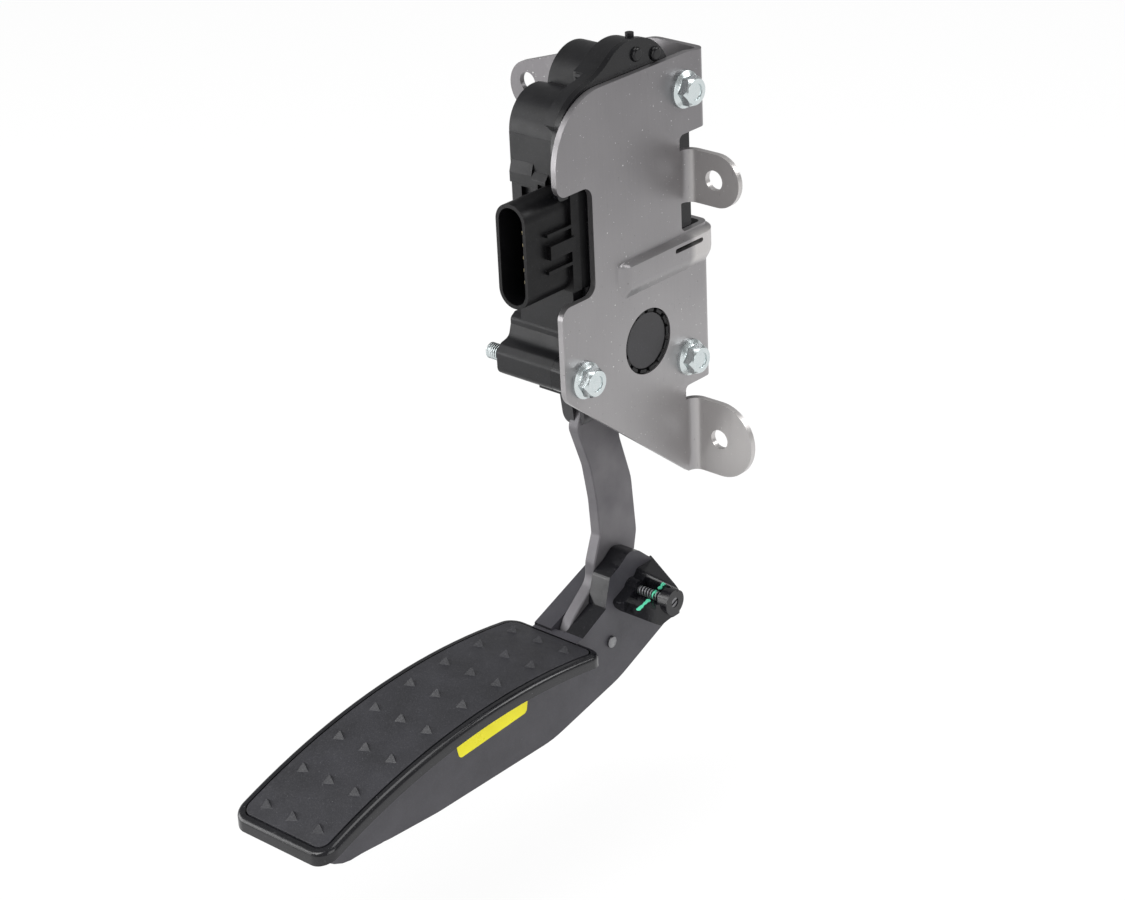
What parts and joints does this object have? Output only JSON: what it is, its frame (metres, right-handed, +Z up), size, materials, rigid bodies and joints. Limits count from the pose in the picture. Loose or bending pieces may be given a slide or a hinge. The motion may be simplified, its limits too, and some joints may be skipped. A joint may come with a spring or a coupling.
{
  "type": "accelerator pedal",
  "caption": "Suspended electronic accelerator pedal with a sheet steel bracket, moulded sensor housing, bent steel arm and a treadle with a studded rubber mat.",
  "frame": {"origin": "midway between the two ear holes on the right, on the face of the ears that lies against the firewall", "axes": "+Y into the firewall, +Z up, +X to the side where the bolt heads and the two right ears are"},
  "size_m": [0.1581, 0.2862, 0.3436],
  "materials": {
    "bracket_steel": "satin stainless sheet",
    "zinc_steel": "bright zinc plate",
    "housing_plastic": "black glass filled nylon",
    "cover_plastic": "black moulding, satin gloss",
    "contact_brass": "plated contact",
    "board": "circuit board",
    "bearing_plastic": "natural acetal",
    "spring_steel": "drawn wire",
    "hub_grey": "dark grey",
    "magnet": "ferrite",
    "arm_paint": "dark grey coating",
    "treadle_plastic": "charcoal glass filled nylon",
    "mat_rubber": "moulded black rubber",
    "pin_steel": "plain steel",
    "label_film": "yellow film, blank"
  },
  "bodies": {
    "bracket": {"mounting_bracket": "bracket_steel", "flange_bolts": "zinc_steel", "bolt_sleeves": "zinc_steel", "housing_body": "housing_plastic", "housing_cover": "cover_plastic", "bearing_cap": "housing_plastic", "connector_housing": "housing_plastic", "connector_pins": "contact_brass", "sensor_board": "board", "pivot_bushes": "bearing_plastic", "spring_seat": "bearing_plastic", "outer_spring": "spring_steel", "inner_spring": "spring_steel", "idle_stop": "mat_rubber"},
    "pedal": {"pedal_hub": "hub_grey", "spring_follower": "bearing_plastic", "sensor_magnet": "magnet", "pedal_arm": "arm_paint", "treadle_body": "treadle_plastic", "tread_mat": "mat_rubber", "treadle_pin": "pin_steel", "trim_screw": "pin_steel", "side_label": "label_film"}
  },
  "joints": [
    {"name": "pedal_pivot", "type": "hinge", "parent": "bracket", "child": "pedal", "pos_m": [-0.0446, -0.0353, -0.0072], "axis": [1, 0, 0], "range_deg": [0, 16], "stiffness_Nm_per_rad": 10.7, "springref_deg": -21.2, "deforming": ["outer_spring", "inner_spring"]}
  ]
}
